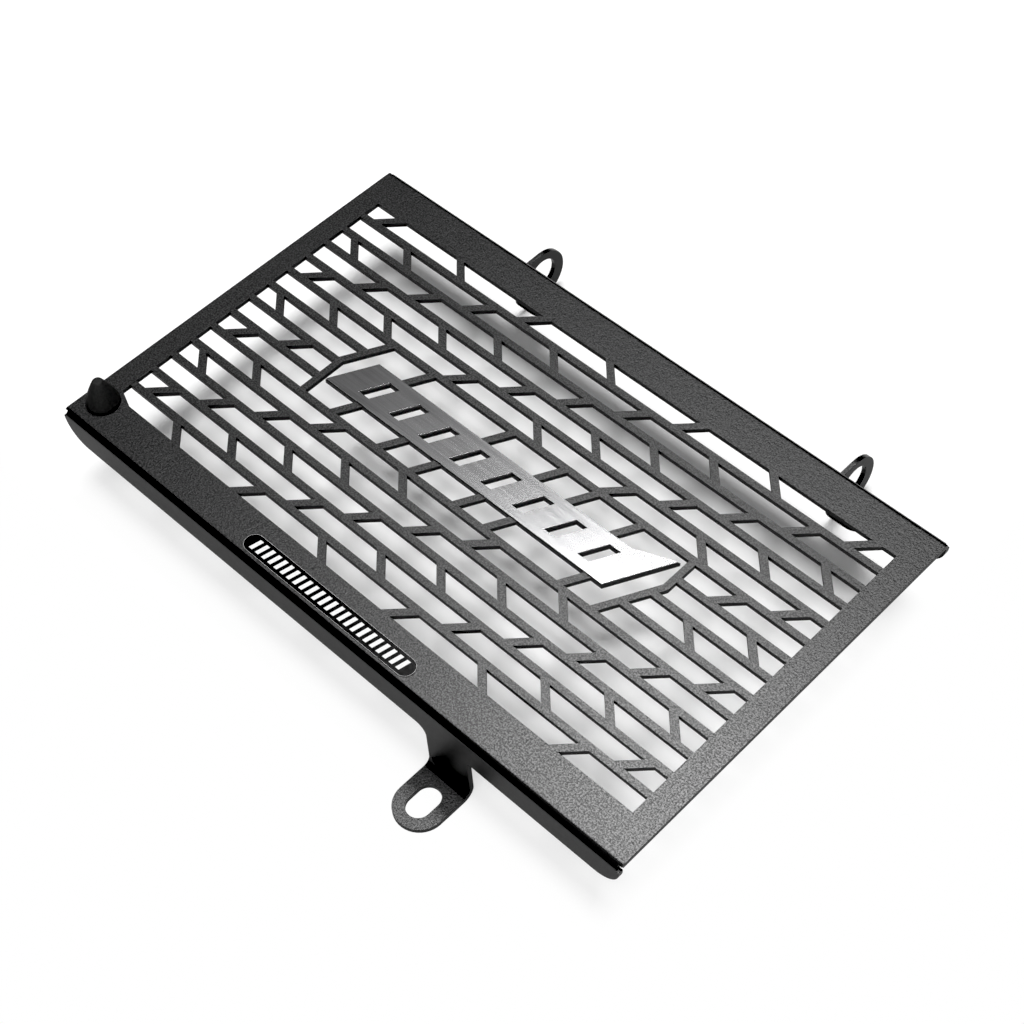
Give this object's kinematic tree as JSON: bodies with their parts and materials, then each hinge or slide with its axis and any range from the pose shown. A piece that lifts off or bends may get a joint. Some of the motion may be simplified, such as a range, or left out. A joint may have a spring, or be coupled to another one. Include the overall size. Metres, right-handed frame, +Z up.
{
  "type": "motorcycle radiator guard",
  "caption": "Folded black sheet guard with rows of slanted slots, a brushed badge plate in a window, a slotted lug, two holed ears and a rubber buffer.",
  "frame": {"origin": "middle of the part's outer box in X and Y, on the plane it lies on", "axes": "+X along the long flanges to the right, +Y from the lug to the ears, +Z up out of the slotted face"},
  "size_m": [0.2542, 0.2012, 0.0446],
  "materials": {
    "black_powder_coat": "fine textured satin powder coat",
    "brushed_badge": "fine brushed along its length",
    "label_film": "smooth film with a light outline",
    "black_rubber": "matt moulded rubber"
  },
  "bodies": {
    "root": {"guard_panel": "black_powder_coat", "badge_plate": "brushed_badge", "label_strip": "label_film", "rubber_buffer": "black_rubber"}
  },
  "joints": []
}
